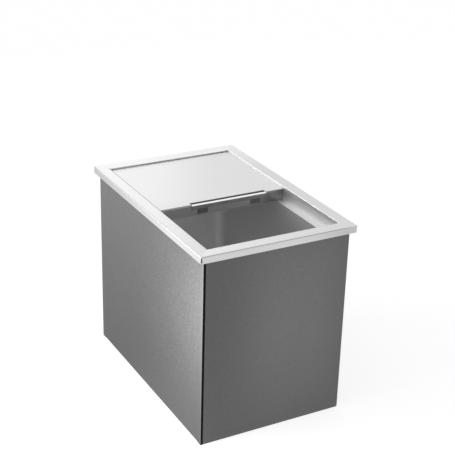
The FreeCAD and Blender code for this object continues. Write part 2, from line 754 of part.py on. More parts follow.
def make_drain_strainer():
    """Slotted disc on the shoulder inside the drain."""
    body = new_body("drain_strainer")
    outline = new_sketch(body, "StrainerOutline", "XY_Plane", "strainer_seat")
    add_circle(outline, "shoulder_radius - strainer_fit")
    pad(body, outline, "strainer_thick")
    slots = new_sketch(body, "StrainerSlots", "XY_Plane", "strainer_seat + strainer_thick")
    for index in range(SIZES["strainer_slots"]):
        middle = f"({index} - (strainer_slots - 1) / 2) * slot_pitch"
        along = [f"{middle} - slot_width / 2", f"{middle} + slot_width / 2"]
        add_rectangle(slots, "-1 * slot_length / 2", "slot_length / 2", *along)
    pocket(body, slots, "strainer_thick")
    return body


def make_drain_plug():
    """Tapered rubber plug with a cap and a pull tab."""
    body = new_body("drain_plug")
    section = new_sketch(body, "PlugSection", "XZ_Plane")
    shank = "seat_radius - plug_gap"
    add_outline(section, [
        ("0", "drain_top - plug_depth"),
        (f"{shank} - plug_depth * seat_slope", "drain_top - plug_depth"),
        (shank, "plug_seat"),
        ("plug_cap_radius", "plug_seat"),
        ("plug_cap_radius", "plug_cap_top"),
        ("0", "plug_cap_top"),
    ])
    turn(body, section)
    tab = new_sketch(body, "PlugTab", "XZ_Plane")
    tab_top = "plug_cap_top + plug_tab_height"
    half = "plug_tab_width / 2"
    add_rectangle(tab, f"-1 * {half}", half, "plug_cap_top", tab_top)
    pad(body, tab, "plug_tab_thick", both=True)
    corners = [{"x": signed(side, half), "z": tab_top} for side in (-1, 1)]
    fillet(body, "PlugTabRound", f"plug_tab_round_share * {half}", *corners)
    hole = new_sketch(body, "PlugTabHole", "XZ_Plane")
    add_circle(hole, "plug_hole_radius", "0", f"{tab_top} - {half}")
    pocket(body, hole, "2 * plug_tab_thick", both=True)
    return body


def make_parts():
    """Every sub-part of the bin."""
    parts = [make_top_rim(), make_inner_tub(), make_base_pan(), make_base_board()]
    parts += [make_left_panel(), make_side_panel("right_panel", 1, "side_end")]
    for name, side in (("left", -1), ("right", 1)):
        parts.append(make_wall_board(f"foam_{name}", "XZ_Plane", side, "x", "tub_out_y - foam_gap"))
        parts.append(make_cover_glide(f"{name}_cover_glide", side))
    for name, end in (("front", -1), ("rear", 1)):
        parts.append(make_end_panel(f"{name}_panel", end))
        board_half = "pan_x - casing_sheet - foam_gap"
        parts.append(make_wall_board(f"foam_{name}", "YZ_Plane", end, "y", board_half))
        parts.append(make_corner_joiner(f"{name}_left_joiner", end))
        parts.append(make_seam_strip(f"{name}_right_joiner", end))
    parts += [make_sliding_cover(), make_cover_handle(), make_rear_cover(), make_drain_spud()]
    parts.append(make_ring("drain_gasket", "gasket_radius", "sump_top", "gasket_top"))
    parts.append(make_ring("drain_washer", "washer_radius", "washer_foot", "base_bay"))
    parts += [make_drain_locknut(), make_drain_strainer(), make_drain_plug()]
    return parts


def check(parts):
    """Stop if any object failed or any sub-part is not one valid solid."""
    doc.recompute()
    failed = [item.Name for item in doc.Objects if {"Invalid", "Error"} & set(item.State)]
    if failed:
        raise RuntimeError(f"failed objects: {failed}")
    for part in parts:
        if part.Shape.isNull() or not part.Shape.isValid() or len(part.Shape.Solids) != 1:
            raise RuntimeError(f"{part.Label} is not one valid solid")


parts = make_parts()
check(parts)
os.makedirs("parts", exist_ok=True)
for part in parts:
    part.Shape.exportStep(f"parts/{part.Label}.step")
    print(f"{part.Label}: {part.Shape.Volume:.0f} mm3")
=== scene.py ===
import math

import bmesh
import bpy
from bpy.props import FloatProperty, FloatVectorProperty, IntProperty, PointerProperty
from bpy.types import Operator, Panel, PropertyGroup
from mathutils import Matrix, Vector


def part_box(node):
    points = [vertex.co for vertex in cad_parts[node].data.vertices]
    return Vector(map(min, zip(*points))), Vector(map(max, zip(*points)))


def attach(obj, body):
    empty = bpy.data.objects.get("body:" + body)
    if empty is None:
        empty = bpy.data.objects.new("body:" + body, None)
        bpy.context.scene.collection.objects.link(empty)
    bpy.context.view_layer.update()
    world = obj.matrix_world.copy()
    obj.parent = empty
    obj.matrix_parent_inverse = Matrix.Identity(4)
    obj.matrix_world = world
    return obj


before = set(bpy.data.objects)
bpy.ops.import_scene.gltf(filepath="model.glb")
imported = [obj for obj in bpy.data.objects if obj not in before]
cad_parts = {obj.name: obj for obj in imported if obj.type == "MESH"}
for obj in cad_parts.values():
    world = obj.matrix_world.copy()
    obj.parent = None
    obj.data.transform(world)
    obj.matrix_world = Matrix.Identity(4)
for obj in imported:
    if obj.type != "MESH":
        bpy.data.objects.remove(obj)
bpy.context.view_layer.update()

bl_info = {
    "name": "Drop-in ice bin",
    "version": (1, 0, 0),
    "blender": (4, 5, 0),
    "location": "3D View > Sidebar > Ice bin",
    "description": "Sheet finishes, drain threads, seam toes and a studio for a drop-in ice bin",
    "category": "Object",
}

MM = 0.001
X_AXIS, Y_AXIS, Z_AXIS = 0, 1, 2

# Sizes of the part that its nodes' boxes don't give
FLANGE_WIDTH = 23.5 * MM
GROOVE_REACH = 9.4 * MM
BAR_REACH = 4.4 * MM
BAR_DROP = 0.4 * MM
BAR_DEPTH = 9.4 * MM

# Places on the part, from its nodes' boxes and the sizes above
RIM_LOW, RIM_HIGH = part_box("top_rim")
OPENING_X = RIM_HIGH.x - FLANGE_WIDTH
CASE_LOW, CASE_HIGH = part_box("left_panel")
SPUD_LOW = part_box("drain_spud")[0]
NUT_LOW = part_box("drain_locknut")[0]
COVER_LOW, COVER_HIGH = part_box("sliding_cover")
GROOVE_BACK = COVER_LOW.y + GROOVE_REACH
BAR_BACK = COVER_LOW.y + BAR_REACH
BAR_TOP = COVER_HIGH.z - BAR_DROP
BAR_FOOT = COVER_HIGH.z - BAR_DEPTH

# Threads: how far a ridge is sunk, its half widths as shares of its pitch, and its plain ends
RIDGE_SUNK = 0.2 * MM
RIDGE_HALF = 0.42
CREST_HALF = 0.10
TAIL_PLAIN = (0.5 * MM, 0.6 * MM)
BODY_PLAIN = (0.2 * MM, 0.1 * MM)

TOE_BEVEL_STEPS = 4

# Stage: each lamp's name, place, aim, width and the setting of its power
LAMPS = (
    ("left_lamp", (-0.38, -0.15, 0.21), (-0.143, -0.17, 0.24), 0.22, "left_power"),
    ("side_lamp", (-0.85, 0.75, 0.30), (-0.143, 0.0, 0.20), 0.40, "side_power"),
    ("back_lamp", (0.40, 2.00, 1.05), (-0.08, 0.05, 0.36), 0.95, "back_power"),
)
FLOOR_GAP = 0.2 * MM
CAMERA_REACH = 30.0
WHITE = (1.0, 1.0, 1.0, 1.0)

# Finishes: strengths of a piece's colour, as one level or the two that it goes between
RIM_PLAIN = (0.90, 1.07)
# Painted light falloff: lighter at the front flange's left end, darker to the right and on the front
# of the right side
RIM_LIT_LEFT = (0.98, 1.17)
RIM_SHADED_RIGHT = (0.83, 1.0)
# Lighter along the rear end and the rear of the right side
RIM_LIGHTER_REAR = (1.06, 1.25)
# Painted shade on the skirts, deeper on the rear of the side skirts and the right of the front skirt
RIM_SHADED_SKIRT_GRAIN = (0.70, 1.0)
RIM_DEEP_SKIRT_SHADE = 0.68
# Painted highlight on the inner lips and bends
RIM_LIP_HIGHLIGHT = 1.38
RIM_SHADED_LIP = 0.95
# Painted shade line along the left inner margin of the flange
RIM_SHADE_LINE = 0.32
# Painted shade on the outer bends of the long sides, lighter towards the front
RIM_BEND_SHADE = 0.40
# Painted dark reflection on the end bends, short of the right corner
RIM_DARK_FOLD = 0.35
COVER_SATIN = (0.95, 1.04)
# Painted highlight on the covers' side folds
COVER_FOLD_HIGHLIGHT = 1.4
# Painted shade on the end flanges, darker towards the right, and on their bends
COVER_FLANGE_SHADE = (0.82, 0.20)
COVER_BEND_SHADE = 0.22
BAR_GRAIN = (0.94, 1.06)
# Painted shade on the pull bar's front, in its groove and on its tabs
BAR_FRONT_SHADE = 1.35
BAR_GROOVE_SHADE = 1.0
BAR_TAB_SHADE = 0.8
CASE_PLAIN = (0.52, 1.50)
# Painted highlight patch on the end panels
CASE_HIGHLIGHT = (1.5, 2.75)
# Painted highlight along the corner folds
CASE_FOLD_HIGHLIGHT = 1.9
CASE_SCUFFED = 1.6
CASE_SHADED = 0.15
TUB_DRAWN = (0.93, 1.06)
TUB_SCALE = 0.78
ZINC_CRYSTALS = (0.72, 1.22)
ZINC_BLOOM = 1.3
TURNED_RINGS = (0.90, 1.10)
TURNED_STAIN = 0.55
FIBRE_PRESSED = (0.70, 1.35)
RUBBER_BLOOM = (0.85, 2.2)
BOARD_CELLS = (1.10, 0.80)
GLIDE_MARKS = (1.03, 0.84)

# Finishes: how far a fold faces one way, where a part of it starts and where it is full
LIP_START = (0.02, 0.12)
LIP_FACE = (0.70, 0.98)
BEND_START = (0.08, 0.25)
# How upright an outer bend is where its painted shade starts and where it is full
BEND_SHADE = (0.42, 0.62)
BEND_END = (0.80, 0.98)
SIDE_FOLD = (0.05, 0.30)
END_FLANGE = (0.80, 0.98)
END_BEND_START = (0.25, 0.50)
END_BEND_END = (0.92, 1.0)
LIES_FLAT = (0.6, 0.9)

# Finishes: where a mark starts and where it is full, along the axis in its name or from a line
MIDDLE_FADE = 10 * MM
RIM_MITRE = (-0.8 * MM, 0.8 * MM)
RIM_OUTER = (-8 * MM, -5 * MM)
# Where the painted light falloff runs across the front flange and along the right side
RIM_SHADE_RIGHT_X = (-140 * MM, 150 * MM)
RIM_SHADE_RIGHT_Y = (190 * MM, 20 * MM)
# Where the rim is lighter along the rear end and the rear of the right side
RIM_LIGHTER_REAR_X = (-30 * MM, 130 * MM)
RIM_LIGHTER_REAR_Y = (90 * MM, 220 * MM)
# Painted dark reflection on the end bends, short of the right corner
RIM_DARK_FOLD_X = (150 * MM, 115 * MM)
# Painted shade line along the left inner margin of the flange
RIM_SHADE_LINE_X = (-OPENING_X - 2.1 * MM, -OPENING_X - 1.7 * MM)
RIM_LEFT_X = (0.0, -20 * MM)
RIM_TOP_Z = (RIM_HIGH.z - 1.4 * MM, RIM_HIGH.z - 1.0 * MM)
# Where the deeper painted shade on the skirts runs
RIM_DEEP_SHADE_X = (30 * MM, 150 * MM)
RIM_DEEP_SHADE_Y = (-150 * MM, -10 * MM)
RIM_SHADED_Y = (0.0, -30 * MM)
# Where the painted shade on the outer bends eases off towards the front
RIM_BEND_LIT_Y = (40 * MM, -140 * MM)
COVER_RUBBED_Y = (GROOVE_BACK + 24 * MM, GROOVE_BACK + 4 * MM)
COVER_RIGHT_X = (50 * MM, 115 * MM)
# Where the painted shade lies on the pull bar's front, in its groove and on its tabs
BAR_FRONT_Z = (BAR_TOP - 1.2 * MM, BAR_TOP - 2.2 * MM)
BAR_GROOVE_Y = (BAR_BACK - 0.5 * MM, BAR_BACK + 0.3 * MM)
BAR_TAB_Z = (BAR_FOOT + 0.3 * MM, BAR_FOOT - 0.3 * MM)
CASE_FOLD = (2.4 * MM, 0.0)
CASE_SCUFFED_Z = (14 * MM, 0.0)
CASE_SHADED_Z = (RIM_LOW.z - 6 * MM, RIM_LOW.z - 2 * MM)
CASE_END_Y = (CASE_HIGH.y - 12 * MM, CASE_HIGH.y - 4 * MM)
# Where painted glints, a stronger speckle, gather near the front of the side panels
CASE_NEAR_Y = (150 * MM, -200 * MM)
CASE_NEAR_Z = (-40 * MM, 200 * MM)
TUB_DRAIN = (62 * MM, 46 * MM)
TUB_WATER_Z = (120 * MM, 60 * MM)
MOULD_LINE = (0.35 * MM, 0.10 * MM)

# Painted highlight patch on the end panels: its middle and its fades, as shares of the panel
HIGHLIGHT_X, HIGHLIGHT_Z = 0.30, 0.62
HIGHLIGHT_ACROSS = (1.25, 0.15)
HIGHLIGHT_UP = (0.95, 0.05)

FIBRES_PER_METRE = (2200.0, 420.0, 900.0)
FIBRE_TURN = (0.0, 0.0, 0.7)


# Properties

def colour(name, description, value):
    """A colour that a user can change."""
    return FloatVectorProperty(name=name, description=description, subtype="COLOR",
                               size=3, min=0.0, max=1.0, default=value)


def length(name, description, value):
    """A length that a user can change, in metres."""
    return FloatProperty(name=name, description=description, unit="LENGTH",
                         min=0.0, precision=5, default=value)


def share(name, description, value):
    """A number from nought to one that a user can change."""
    return FloatProperty(name=name, description=description, subtype="FACTOR",
                         min=0.0, max=1.0, default=value)


def power(name, description, value):
    """A lamp's power that a user can change."""
    return FloatProperty(name=name, description=description, unit="POWER",
                         min=0.0, default=value)


def angle(name, description, degrees):
    """An angle that a user can change."""
    return FloatProperty(name=name, description=description, subtype="ANGLE",
                         default=math.radians(degrees))


class SheetFinish(PropertyGroup):
    """Colours and grain of the sheet metal."""

    rim_colour: colour("Rim", "Brushed steel of the folded rim", (0.72, 0.72, 0.72))
    rim_roughness: share("Rim roughness", "How dull the rim's brushing is", 0.27)
    cover_colour: colour("Covers", "Satin steel of the covers", (0.71, 0.71, 0.71))
    cover_roughness: share("Cover roughness", "How dull the covers are", 0.30)
    # The pull bar's light colour is partly from handling and partly a painted highlight
    bar_colour: colour("Pull bar", "Worn steel of the pull bar", (0.90, 0.90, 0.90))
    # Painted shade on the pull bar's front, in its groove and on its tabs
    bar_shade_colour: colour("Stain", "Stained steel in the bar's groove and on its tabs",
                         (0.30, 0.30, 0.30))
    bar_roughness: share("Bar roughness", "How dull the pull bar is", 0.34)
    casing_colour: colour("Casing", "Dark satin steel of the outer panels", (0.116, 0.116, 0.116))
    casing_roughness: share("Casing roughness", "How dull the outer panels are", 0.58)
    tub_colour: colour("Tub", "Drawn steel of the tub", (0.90, 0.90, 0.90))
    tub_roughness: share("Tub roughness", "How dull the tub is", 0.55)
    zinc_colour: colour("Zinc", "Zinc coat on the base pan", (0.50, 0.51, 0.52))
    # Near-black zinc on the joiners and seam toes, as painted shade in the open seams
    seam_shade_colour: colour("Dull zinc", "Weathered zinc on the joiners behind the seams",
                             (0.05, 0.05, 0.05))
    hairline_pitch: length("Hairline pitch", "Space between the finest brush lines", 0.6 * MM)
    hairline_run: length("Hairline run", "Length of one brush line", 90 * MM)


class FittingFinish(PropertyGroup):
    """Colours of the drain, the boards and the glides."""

    drain_colour: colour("Drain", "Turned steel of the drain", (0.68, 0.68, 0.67))
    brass_colour: colour("Locknut", "Brass of the locknut", (0.70, 0.50, 0.22))
    fibre_colour: colour("Washer", "Pressed fibre of the washer", (0.34, 0.12, 0.07))
    rubber_colour: colour("Rubber", "Rubber of the plug and gasket", (0.028, 0.028, 0.030))
    board_colour: colour("Boards", "Foam of the insulation boards", (0.78, 0.70, 0.50))
    glide_colour: colour("Glides", "Plastic of the cover glides", (0.74, 0.74, 0.71))
    ring_pitch: length("Turning pitch", "Space between the turning rings", 0.5 * MM)
    cell_size: length("Foam cell", "Size of one cell in the boards", 1.6 * MM)
    spangle_size: length("Spangle", "Size of one zinc crystal", 9 * MM)


class DrainThread(PropertyGroup):
    """Sizes of the threads on the drain."""

    tail_radius: length("Tail radius", "Radius of the drain's tail", 13.2 * MM)
    tail_top: length("Tail top", "Height of the step above the tail", 23.5 * MM)
    body_radius: length("Body radius", "Radius of the drain's body", 21.0 * MM)
    tail_pitch: length("Tail pitch", "Rise of the tail's thread in one turn", 1.814 * MM)
    body_pitch: length("Body pitch", "Rise of the body's thread in one turn", 1.5 * MM)
    crest_height: length("Crest height", "How far a thread stands out", 0.35 * MM)
    steps_per_turn: IntProperty(name="Steps", description="Straight steps in one turn",
                                min=12, max=96, default=48)


class SeamToe(PropertyGroup):
    """Sizes of the toes that close the feet of the left corner seams."""

    height: length("Height", "How high a toe stands", 1.55 * MM)
    foot_gap: length("Foot gap", "Space under a toe", 0.02 * MM)
    outer_width: length("Outer width", "Thickness of the toe under the left panel's end", 1.7 * MM)
    outer_run: length("Outer run", "Length of the toe under the left panel's end", 11.4 * MM)
    outer_round: length("Outer round", "Rounding of the left panel's foot", 1.2 * MM)
    seam_width: length("Seam width", "Width of the toe in the seam", 3.8 * MM)
    seam_run: length("Seam run", "How far the toe in the seam reaches in", 5.9 * MM)
    seam_inset: length("Seam inset", "How far the toe in the seam stands back", 0.4 * MM)
    seam_round: length("Seam round", "Rounding of the toe in the seam", 0.1 * MM)


class Studio(PropertyGroup):
    """The camera, the floor and the lamps."""

    lens: FloatProperty(name="Lens", description="Focal length in millimetres on a 36 mm frame",
                        unit="CAMERA", min=10.0, default=89.516)
    turn: angle("Turn", "Camera's turn from straight in front, to the right", -28.921)
    rise: angle("Rise", "Camera's height above level", 23.741)
    roll: angle("Roll", "Camera's tilt to one side", 1.587)
    distance: length("Distance", "From the camera to its target", 2.114658)
    target: FloatVectorProperty(name="Target", description="Point that the camera looks at",
                                subtype="XYZ", size=3, unit="LENGTH",
                                default=(0.020957, 0.0, 0.300097))
    floor_size: length("Floor size", "Width of the floor", 8.0)
    floor_colour: colour("Floor", "Pale floor", (0.55, 0.55, 0.55))
    floor_lift: share("Floor lift", "Light that the floor gives to the eye, to read as white", 0.72)
    sky_level: share("Sky level", "Light from the white room on plain surfaces", 0.50)
    left_power: power("Left lamp", "Soft lamp beside the left panel", 1.85)
    side_power: power("Side lamp", "Soft lamp behind at the left", 4.0)
    back_power: power("Back lamp", "Soft lamp behind", 0.9)


# Materials

class Flow:
    """A value on its way through a material's nodes. Sums on it add the nodes."""

    def __init__(self, tree, socket=None):
        self.tree = tree
        self.socket = socket

    def node(self, kind, settings=None, sockets=None, output=0):
        """Adds a node with its settings, then its sockets' values or links."""
        node = self.tree.nodes.new(kind)
        for name, value in (settings or {}).items():
            setattr(node, name, value)
        for name, value in (sockets or {}).items():
            if isinstance(value, Flow):
                self.tree.links.new(value.socket, node.inputs[name])
            else:
                node.inputs[name].default_value = value
        return Flow(self.tree, node.outputs[output] if node.outputs else None)

    def maths(self, operation, *terms):
        """Adds a sum on values."""
        return self.node("ShaderNodeMath", {"operation": operation}, dict(enumerate(terms)))

    def __add__(self, other):
        return self.maths("ADD", self, other)

    def __radd__(self, other):
        return self.maths("ADD", other, self)

    def __sub__(self, other):
        return self.maths("SUBTRACT", self, other)

    def __rsub__(self, other):
        return self.maths("SUBTRACT", other, self)

    def __mul__(self, other):
        return self.maths("MULTIPLY", self, other)

    def __rmul__(self, other):
        return self.maths("MULTIPLY", other, self)

    def __truediv__(self, other):
        return self.maths("DIVIDE", self, other)

    def __abs__(self):
        return self.maths("ABSOLUTE", self)


def start_finish(name):
    """An empty material, and the flow of its nodes."""
    material = bpy.data.materials.new(name)
    material.use_nodes = True
    material.node_tree.nodes.clear()
    return material, Flow(material.node_tree)


def end_finish(material, flow, sockets):
    """Closes a material with its shader."""
    shader = flow.node("ShaderNodeBsdfPrincipled", {}, sockets)
    flow.node("ShaderNodeOutputMaterial", {}, {"Surface": shader})
    return material


def paint(material, *names):
    """Gives the material to the named nodes of the frame."""
    for name in names:
        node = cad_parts.get(name)
        if node is None or not node.material_slots:
            raise RuntimeError(f"the frame has no node {name} to paint")
        for slot in node.material_slots:
            slot.material = material


def at(flow):
    """The place on the piece, in metres, whole and as its three parts."""
    place = flow.node("ShaderNodeTexCoord", {}, {}, "Object")
    parts = [flow.node("ShaderNodeSeparateXYZ", {}, {"Vector": place}, axis) for axis in range(3)]
    return place, parts


def facing(flow):
    """How far the surface faces along each axis, from nought to one."""
    normal = flow.node("ShaderNodeNewGeometry", {}, {}, "True Normal")
    return [abs(flow.node("ShaderNodeSeparateXYZ", {}, {"Vector": normal}, axis)) for axis in range(3)]


def noise(flow, place, size, detail=2.0, roughness=0.5):
    """Soft blotches of about one size, with a mean of a half."""
    return flow.node("ShaderNodeTexNoise", {}, {"Vector": place, "Scale": 1.0 / size,
                                                "Detail": detail, "Roughness": roughness})


def brush_lines(flow, place, along, pitch, run):
    """Hairlines drawn out along one axis."""
    scale = [1.0 / pitch] * 3
    scale[along] = 1.0 / run
    drawn = flow.node("ShaderNodeMapping", {}, {"Vector": place, "Scale": scale})
    return noise(flow, drawn, size=1.0, roughness=0.6)


def band(flow, value, start, end):
    """A smooth step from nought at the start to one at the end."""
    return flow.node("ShaderNodeMapRange", {"interpolation_type": "SMOOTHSTEP", "clamp": True},
                     {"Value": value, "From Min": start, "From Max": end})


def level(colour_value, strength):
    """A colour made darker or lighter."""
    return tuple(min(part * strength, 1.0) for part in colour_value) + (1.0,)


def between(flow, amount, first, second):
    """A value between two values."""
    return flow.node("ShaderNodeMix", {"data_type": "FLOAT"}, {0: amount, 2: first, 3: second}, 0)


def mixed(flow, amount, first, second):
    """A colour between two colours."""
    return flow.node("ShaderNodeMix", {"data_type": "RGBA"}, {0: amount, 6: first, 7: second}, 2)


def grained(flow, amount, tone, strengths):
    """A colour that goes from its first strength to its second."""
    first, second = strengths
    return mixed(flow, amount, level(tone, first), level(tone, second))


def raised(flow, height, depth, strength=1.0):
    """A bump of real depth."""
    return flow.node("ShaderNodeBump", {}, {"Height": height, "Distance": depth, "Strength": strength})


def mitred_lines(flow, place, on_long_side, pitch, run):
    """Hairlines along each side of the rim, which meet on the corners' diagonals."""
    return between(flow, on_long_side, brush_lines(flow, place, X_AXIS, pitch, run),
                   brush_lines(flow, place, Y_AXIS, pitch, run))


def brushed_rim_steel(sheet):
    """Rim: brushed along each side, with painted shade on the skirts, the outer bends and a line on
    the left inner margin, a painted dark reflection on the end bends, painted highlights on the inner
    lips, a painted light falloff towards the right, and lighter along the rear.
    """
    material, flow = start_finish("brushed_rim_steel")
    place, (x, y, z) = at(flow)
    pitch, run, tone = sheet.hairline_pitch, sheet.hairline_run, sheet.rim_colour

    from_side, from_end = abs(x) - RIM_HIGH.x, abs(y) - RIM_HIGH.y
    on_long_side = band(flow, from_side - from_end, *RIM_MITRE)
    on_end = 1.0 - on_long_side
    on_right = on_long_side * band(flow, x, 0.0, MIDDLE_FADE)
    front_end = on_end * band(flow, y, 0.0, -MIDDLE_FADE)
    rear_end = on_end * band(flow, y, 0.0, MIDDLE_FADE)
    # Mask of the painted light falloff towards the right
    falloff_right = band(flow, x, *RIM_SHADE_RIGHT_X)

    outer = band(flow, flow.maths("MAXIMUM", from_side, from_end), *RIM_OUTER)
    inner = 1.0 - outer
    upright = 1.0 - facing(flow)[Z_AXIS]
    skirt = upright * outer
    lip = band(flow, upright, *LIP_START) * inner
    side_lip = band(flow, upright, *LIP_FACE) * inner * on_long_side
    bend = outer * band(flow, upright, *BEND_START) * (1.0 - band(flow, upright, *BEND_END))
    # Masks of painted shade: the outer long bends, the end bends short of the right corner, and a line
    # on the left inner margin
    wear_and_painted_light = bend * on_long_side * band(flow, upright, *BEND_SHADE)
    pressing_and_shade = bend * on_end * band(flow, x, *RIM_DARK_FOLD_X)
    margin = band(flow, x, *RIM_SHADE_LINE_X)
    left_half = band(flow, x, *RIM_LEFT_X)
    on_top = band(flow, z, *RIM_TOP_Z)
    shade_line = margin * left_half * on_long_side * on_top

    fine = mitred_lines(flow, place, on_long_side, pitch, run)
    broad = mitred_lines(flow, place, on_long_side, 5 * pitch, 3 * run)
    grain = 0.5 * fine + 0.5 * broad
    smudge = noise(flow, place, size=60 * MM, detail=3.0)

    # Painted light falloff: lighter at the front flange's left end, darker to the right and on the
    # front of the right side
    shaded_right_grain = grained(flow, grain, tone, RIM_SHADED_RIGHT)
    shaded_right_side = on_right * band(flow, y, *RIM_SHADE_RIGHT_Y)
    sides = mixed(flow, shaded_right_side, grained(flow, grain, tone, RIM_PLAIN), shaded_right_grain)
    # Lighter along the rear end and the rear of the right side
    along_rear = rear_end * band(flow, x, *RIM_LIGHTER_REAR_X)
    along_right = 0.5 * on_right * band(flow, y, *RIM_LIGHTER_REAR_Y)
    rear = mixed(flow, along_rear + along_right, sides, grained(flow, grain, tone, RIM_LIGHTER_REAR))
    front = mixed(flow, falloff_right, grained(flow, grain, tone, RIM_LIT_LEFT), shaded_right_grain)
    flange = mixed(flow, front_end, rear, front)

    # Painted shade on the skirts, deeper on the rear of the side skirts and the right of the front
    # skirt
    side_deep_skirt_shade = on_long_side * (0.3 + 0.7 * band(flow, y, *RIM_DEEP_SHADE_Y))
    deep_skirt_shade = side_deep_skirt_shade + 0.9 * front_end * band(flow, x, *RIM_DEEP_SHADE_X)
    shaded_skirt = mixed(flow, deep_skirt_shade, grained(flow, grain, tone, RIM_SHADED_SKIRT_GRAIN), level(tone, RIM_DEEP_SKIRT_SHADE))
    skirted = mixed(flow, skirt, flange, shaded_skirt)
    # Painted highlight on the inner lips and bends
    lip_highlight = mixed(flow, lip, skirted, level(tone, RIM_LIP_HIGHLIGHT))
    shaded = side_lip * band(flow, y, *RIM_SHADED_Y)
    lipped = mixed(flow, shaded, lip_highlight, level(tone, RIM_SHADED_LIP))
    # Painted shade line along the left inner margin of the flange
    shade_lined = mixed(flow, shade_line, lipped, level(tone, RIM_SHADE_LINE))
    # Painted shade on the outer long bends, lighter towards the front
    bend_shade = (0.9 - 0.14 * band(flow, y, *RIM_BEND_LIT_Y)) * wear_and_painted_light
    folded = mixed(flow, bend_shade, shade_lined, level(tone, RIM_BEND_SHADE))
    # Painted dark reflection on the end bends, short of the right corner
    base = mixed(flow, 0.65 * pressing_and_shade, folded, level(tone, RIM_DARK_FOLD))
    uneven = 0.10 * (grain - 0.5) + 0.06 * (smudge - 0.5)
    dull = sheet.rim_roughness + uneven - 0.08 * skirt + 0.25 * wear_and_painted_light + 0.30 * side_lip
    return end_finish(material, flow, {
        "Base Color": base, "Metallic": 1.0, "Roughness": dull,
        "Normal": raised(flow, grain, depth=0.012 * MM, strength=0.5)})


def satin_grain(flow, place, sheet):
    """A close satin grain from side to side."""
    fine = brush_lines(flow, place, X_AXIS, 0.7 * sheet.hairline_pitch, sheet.hairline_run)
    broad = brush_lines(flow, place, X_AXIS, 6 * sheet.hairline_pitch, 4 * sheet.hairline_run)
    return 0.65 * fine + 0.35 * broad


def satin_cover_steel(sheet):
    """Covers: satin grain with faint hand smudges, a painted highlight on the side folds, and painted
    shade on the end flanges, darker towards the right, and on their bends.
    """
    material, flow = start_finish("satin_cover_steel")
    place, (x, y, _) = at(flow)
    tone = sheet.cover_colour
    grain = satin_grain(flow, place, sheet)
    smudge = noise(flow, place, size=45 * MM, detail=4.0, roughness=0.6)
    rub_and_highlight = band(flow, y, *COVER_RUBBED_Y) * smudge
    faces_side, faces_end, _ = facing(flow)
    # Mask of the painted highlight on the side folds
    side_fold = band(flow, faces_side, *SIDE_FOLD)
    # Masks of painted shade on the end flanges and their bends
    end_flange = band(flow, faces_end, *END_FLANGE)
    end_bend = band(flow, faces_end, *END_BEND_START) * (1.0 - band(flow, faces_end, *END_BEND_END))
    at_right = band(flow, x, *COVER_RIGHT_X)
    satin = grained(flow, grain, tone, COVER_SATIN)
    # Painted highlight on the side folds
    folded = mixed(flow, side_fold, satin, level(tone, COVER_FOLD_HIGHLIGHT))
    # Painted shade on the end flanges, darker towards the right, and on their bends
    flanged = mixed(flow, 0.9 * end_flange, folded, grained(flow, at_right, tone, COVER_FLANGE_SHADE))
    base = mixed(flow, 0.85 * end_bend, flanged, level(tone, COVER_BEND_SHADE))
    uneven = 0.06 * (grain - 0.5) + 0.05 * (smudge - 0.5)
    dull = sheet.cover_roughness + uneven + 0.05 * rub_and_highlight + 0.25 * side_fold
    return end_finish(material, flow, {
        "Base Color": base, "Metallic": 1.0, "Roughness": dull,
        "Normal": raised(flow, grain, depth=0.006 * MM, strength=0.5)})


def worn_bar_steel(sheet):
    """Pull bar: a light top, partly from handling and partly a painted highlight, with painted shade
    on its front, in its groove and on its welded tabs.
    """
    material, flow = start_finish("worn_bar_steel")
    place, (_, y, z) = at(flow)
    stain_and_shade = sheet.bar_shade_colour
    grain = satin_grain(flow, place, sheet)
    smudge = noise(flow, place, size=20 * MM, detail=4.0, roughness=0.6)
    # Masks of painted shade on the front below the top, in the groove and on the tabs
    below = band(flow, z, *BAR_FRONT_Z)
    groove = band(flow, y, *BAR_GROOVE_Y)
    tab = band(flow, z, *BAR_TAB_Z)
    # The bar's light colour is partly from handling and partly a painted highlight
    wear_and_painted_light = grained(flow, grain, sheet.bar_colour, BAR_GRAIN)
    # Painted shade on the front, in the groove and on the tabs
    fronted = mixed(flow, below, wear_and_painted_light, level(stain_and_shade, BAR_FRONT_SHADE))
    groove_shaded = mixed(flow, groove, fronted, level(stain_and_shade, BAR_GROOVE_SHADE))
    base = mixed(flow, tab, groove_shaded, level(stain_and_shade, BAR_TAB_SHADE))
    dull = sheet.bar_roughness + 0.08 * (grain - 0.5) + 0.10 * (smudge - 0.5)
    return end_finish(material, flow, {
        "Base Color": base, "Metallic": 1.0, "Roughness": dull,
        "Normal": raised(flow, grain, depth=0.008 * MM, strength=0.5)})


